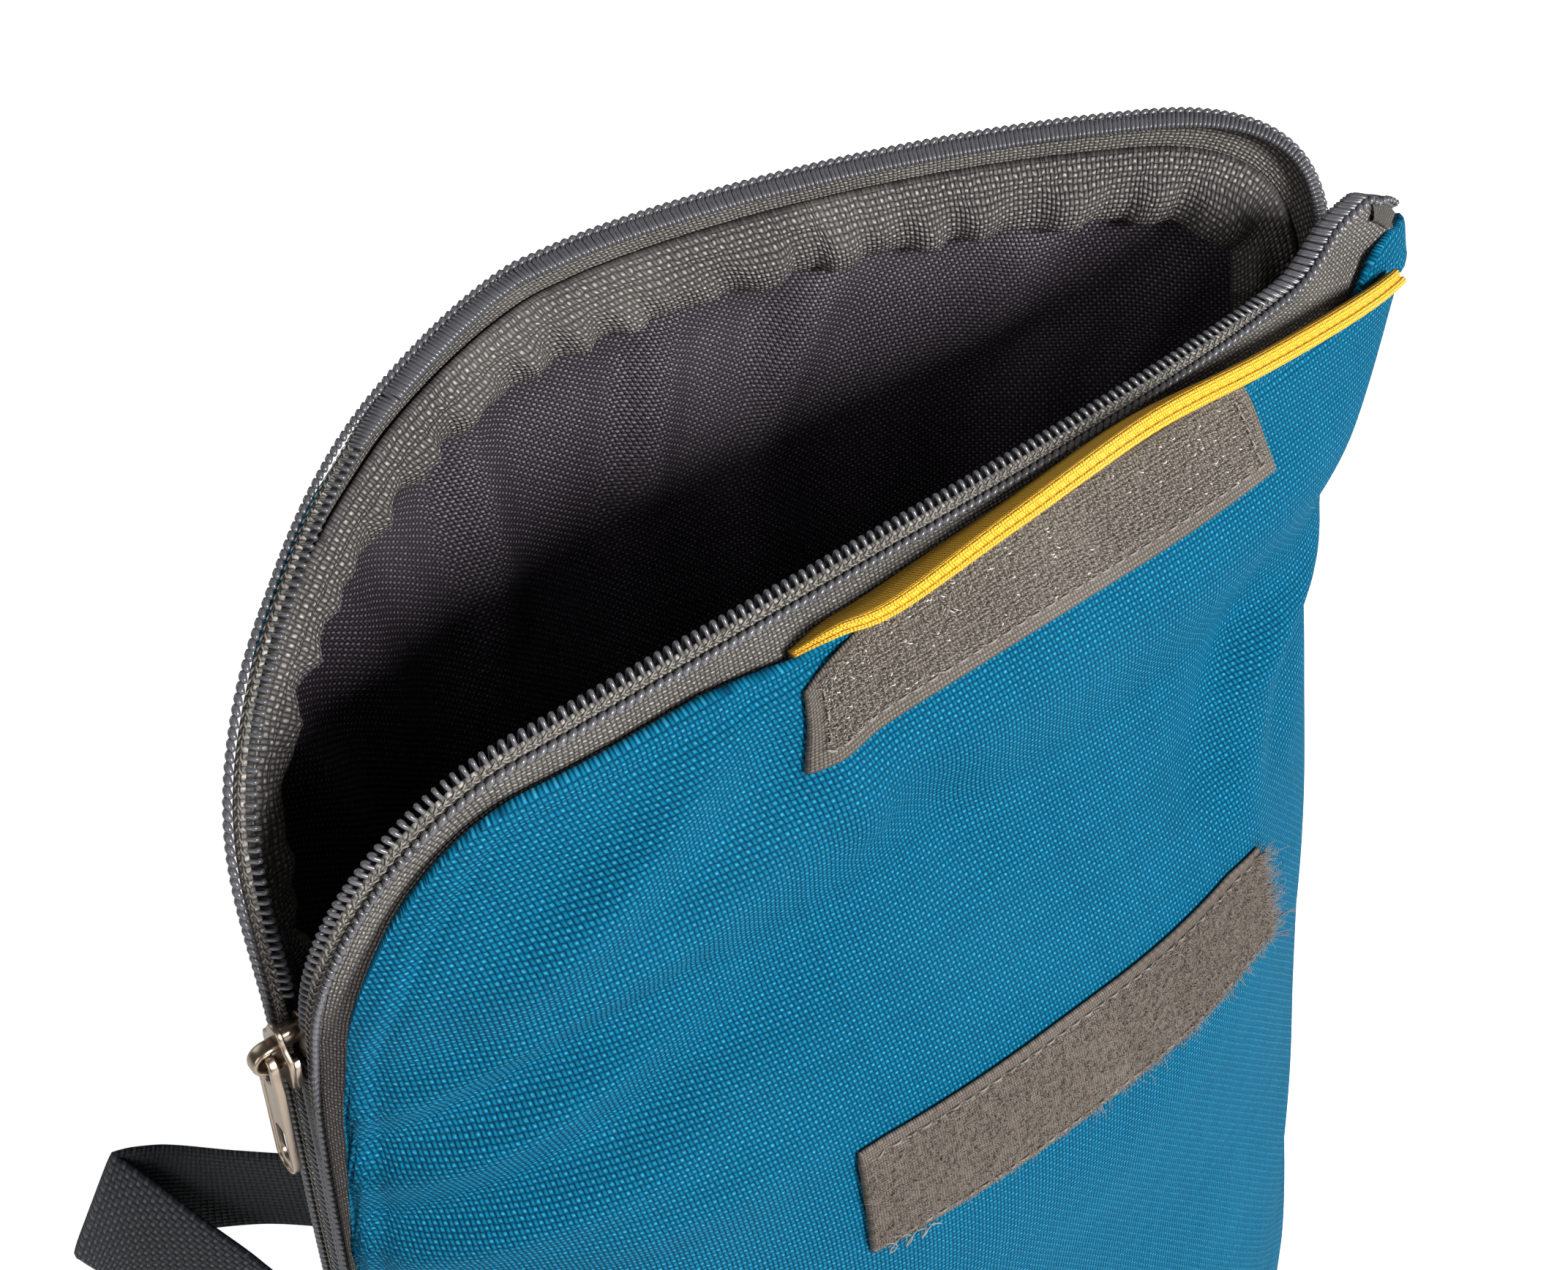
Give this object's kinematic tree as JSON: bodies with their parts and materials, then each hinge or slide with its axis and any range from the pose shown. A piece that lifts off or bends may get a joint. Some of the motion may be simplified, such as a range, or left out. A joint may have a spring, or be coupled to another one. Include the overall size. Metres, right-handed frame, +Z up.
{
  "type": "tool backpack",
  "caption": "Small soft blue cloth backpack standing open, with a zip round the mouth, hook and loop patches, a yellow edge tape, a dark lining and webbing shoulder straps.",
  "frame": {"origin": "middle of the underside of the base, on the surface it stands on", "axes": "+Z up, front with the hook patch facing -Y, zip slider on the -X side"},
  "size_m": [0.2722, 0.1352, 0.3079],
  "materials": {
    "cloth_blue": "coarse plain-woven blue oxford cloth, matt",
    "lining_grey": "thin dark violet-grey lining cloth with a soft sheen",
    "tape_grey": "close grey zip tape, herringbone ribs",
    "binding_grey": "coarse light and dark grey woven binding",
    "coil_grey": "smoke-grey nylon coil with small highlights",
    "nickel": "warm nickel plate, slightly worn",
    "hook_grey": "grey-brown tape set with fine stiff pale hooks",
    "loop_grey": "grey-brown tape with a fuzzy pile",
    "tape_yellow": "bright yellow twill tape",
    "web_slate": "dark slate webbing, dotted outside and ribbed inside"
  },
  "bodies": {
    "bag": {"front_panel": "cloth_blue", "back_panel": "cloth_blue", "base_panel": "cloth_blue", "lining_front": "lining_grey", "lining_back": "lining_grey", "lining_base": "lining_grey", "zip_tape_front": "tape_grey", "zip_tape_back": "tape_grey", "seam_binding_front": "binding_grey", "seam_binding_back": "binding_grey", "zip_coil_front": "coil_grey", "zip_coil_back": "coil_grey", "zip_chain_closed": "coil_grey", "zip_slider": "nickel", "hook_patch": "hook_grey", "loop_strip": "loop_grey", "edge_tape": "tape_yellow", "strap_left": "web_slate", "strap_right": "web_slate"},
    "pull_tab": {"zip_pull": "nickel"}
  },
  "joints": [
    {"name": "pull_tab_hinge", "type": "hinge", "parent": "bag", "child": "pull_tab", "pos_m": [-0.10874, 0, 0.25259], "axis": [0, 1, 0], "range_deg": [0, 165]}
  ]
}
